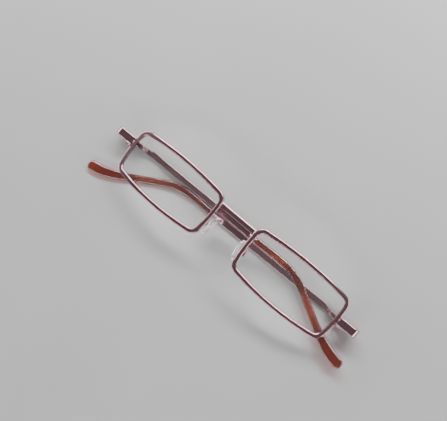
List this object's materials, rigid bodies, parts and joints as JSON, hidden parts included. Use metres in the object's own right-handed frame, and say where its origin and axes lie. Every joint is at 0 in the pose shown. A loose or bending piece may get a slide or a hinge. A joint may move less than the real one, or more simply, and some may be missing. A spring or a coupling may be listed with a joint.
{
  "type": "reading glasses",
  "caption": "Slim full-rim metal reading glasses, folded, with rounded rectangular lenses, adjustable nose pads, spring hinges and bent plastic temple tips.",
  "frame": {"origin": "middle of the right temple's outer face, on the plane that the folded glasses rest on", "axes": "+X from the left lens to the right lens as seen from the front, +Y to the top of the lenses, +Z the way the lenses look, away from the resting plane"},
  "size_m": [0.1427, 0.0331, 0.0132],
  "materials": {
    "frame_metal": "polished mauve plating",
    "screw_steel": "polished",
    "lens": "clear",
    "tip_plastic": "translucent orange-brown",
    "pad_silicone": "clear silicone",
    "pad_plastic": "clear"
  },
  "bodies": {
    "front": {"bridge": "frame_metal", "left_rim": "frame_metal", "left_lens": "lens", "left_end_piece": "frame_metal", "left_rim_lock": "frame_metal", "left_rim_screw": "screw_steel", "left_hinge_screw": "screw_steel", "left_pad_arm": "frame_metal", "left_pad_screw": "screw_steel", "right_rim": "frame_metal", "right_lens": "lens", "right_end_piece": "frame_metal", "right_rim_lock": "frame_metal", "right_rim_screw": "screw_steel", "right_hinge_screw": "screw_steel", "right_pad_arm": "frame_metal", "right_pad_screw": "screw_steel"},
    "left_hinge_half": {"left_hinge_slider": "frame_metal", "left_spring_stop": "screw_steel"},
    "left_temple_arm": {"left_temple": "frame_metal", "left_hinge_housing": "frame_metal", "left_hinge_spring": "screw_steel", "left_temple_tip": "tip_plastic"},
    "left_pad": {"left_nose_pad": "pad_silicone", "left_pad_insert": "pad_plastic"},
    "right_hinge_half": {"right_hinge_slider": "frame_metal", "right_spring_stop": "screw_steel"},
    "right_temple_arm": {"right_temple": "frame_metal", "right_hinge_housing": "frame_metal", "right_hinge_spring": "screw_steel", "right_temple_tip": "tip_plastic"},
    "right_pad": {"right_nose_pad": "pad_silicone", "right_pad_insert": "pad_plastic"}
  },
  "joints": [
    {"name": "left_hinge", "type": "hinge", "parent": "front", "child": "left_hinge_half", "pos_m": [-0.065, 0.00204, 0.0029], "axis": [-0.014, 0.9999, 0], "range_deg": [0, 99]},
    {"name": "left_spring_slide", "type": "slide", "parent": "left_hinge_half", "child": "left_temple_arm", "axis": [0.9997, 0.014, 0.0209], "range_m": [0, 0.0009], "stiffness_N_per_m": 900, "springref_m": -0.0005, "deforming": ["left_hinge_spring"]},
    {"name": "left_pad_rock", "type": "hinge", "parent": "front", "child": "left_pad", "pos_m": [-0.01011, -0.00443, 0.008], "axis": [-0.4938, 0.0782, -0.866], "range_deg": [-10, 10]},
    {"name": "right_hinge", "type": "hinge", "parent": "front", "child": "right_hinge_half", "pos_m": [0.065, 0.00056, 0.0029], "axis": [0.014, -0.9999, 0], "range_deg": [0, 98]},
    {"name": "right_spring_slide", "type": "slide", "parent": "right_hinge_half", "child": "right_temple_arm", "axis": [-0.9999, -0.014, 0], "range_m": [0, 0.0009], "stiffness_N_per_m": 900, "springref_m": -0.0005, "deforming": ["right_hinge_spring"]},
    {"name": "right_pad_rock", "type": "hinge", "parent": "front", "child": "right_pad", "pos_m": [0.01011, -0.00443, 0.008], "axis": [-0.4938, -0.0782, 0.866], "range_deg": [-10, 10]}
  ]
}
